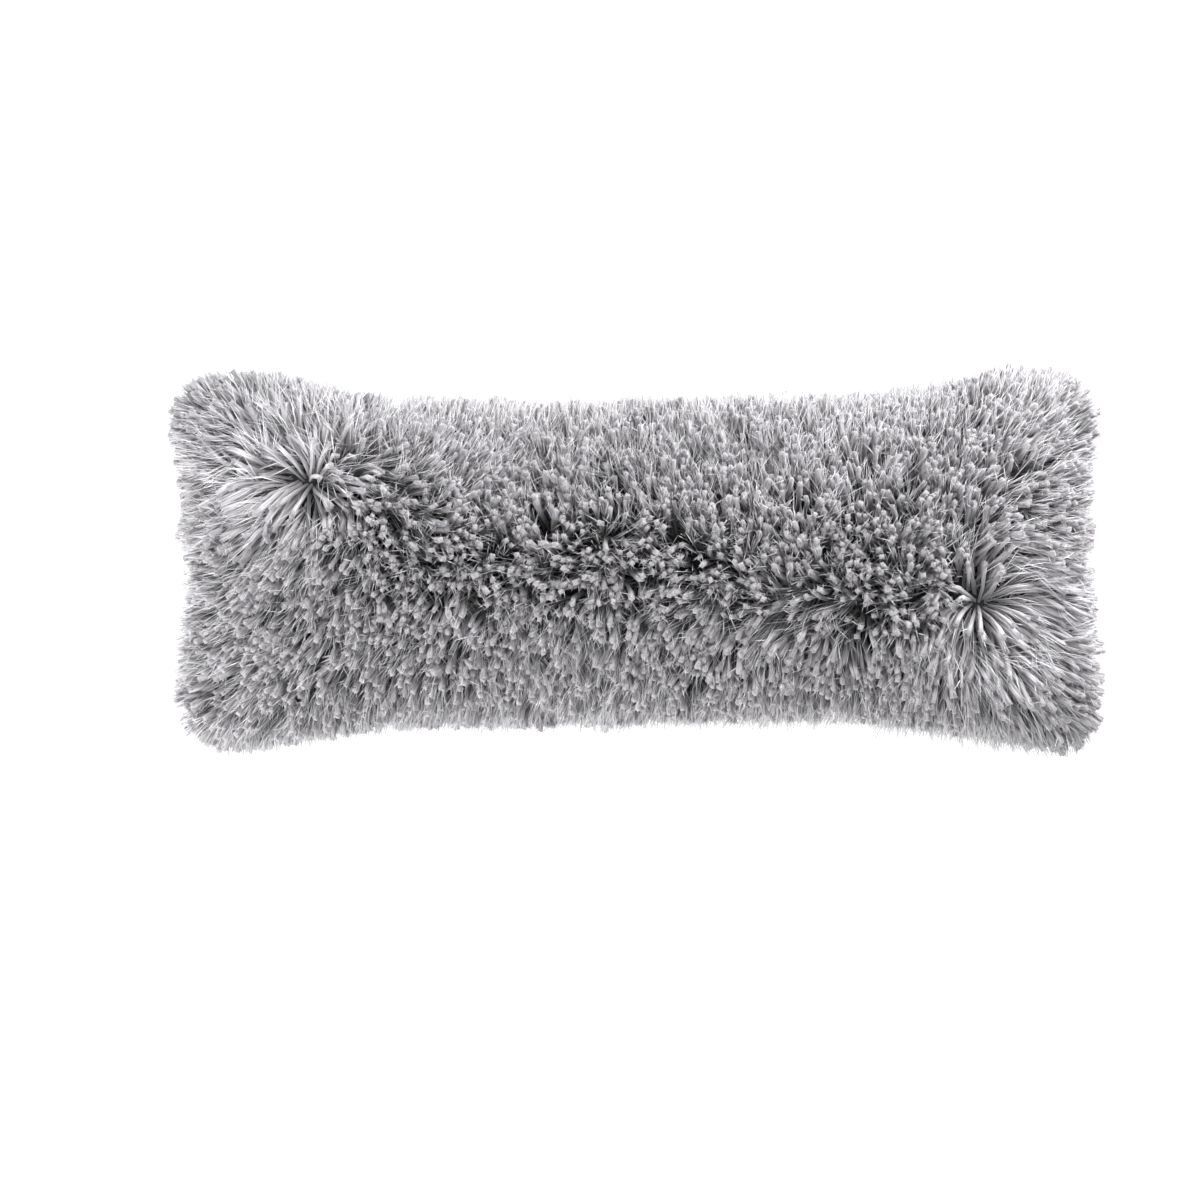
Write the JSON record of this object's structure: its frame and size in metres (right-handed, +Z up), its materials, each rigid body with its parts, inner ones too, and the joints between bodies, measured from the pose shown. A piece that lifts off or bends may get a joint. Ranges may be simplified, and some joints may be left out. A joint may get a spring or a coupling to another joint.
{
  "type": "rectangular shag cushion",
  "caption": "Long rectangular lumbar cushion with a deep shag pile on its face and a plain back, filled and lying on its back.",
  "frame": {"origin": "under the middle of the cushion's outline, on the surface that its back rests on", "axes": "+X along the cushion's length, +Y across its width, +Z up out of the shag face"},
  "size_m": [0.8536, 0.359, 0.1647],
  "materials": {
    "shag_pile": "matte grey microfibre shag yarns of 4 mm with fine shiny silver strands among them",
    "back_cloth": "matte plain-woven grey cloth"
  },
  "bodies": {
    "root": {"cushion_body": "back_cloth", "shag_panel": "shag_pile"}
  },
  "joints": []
}
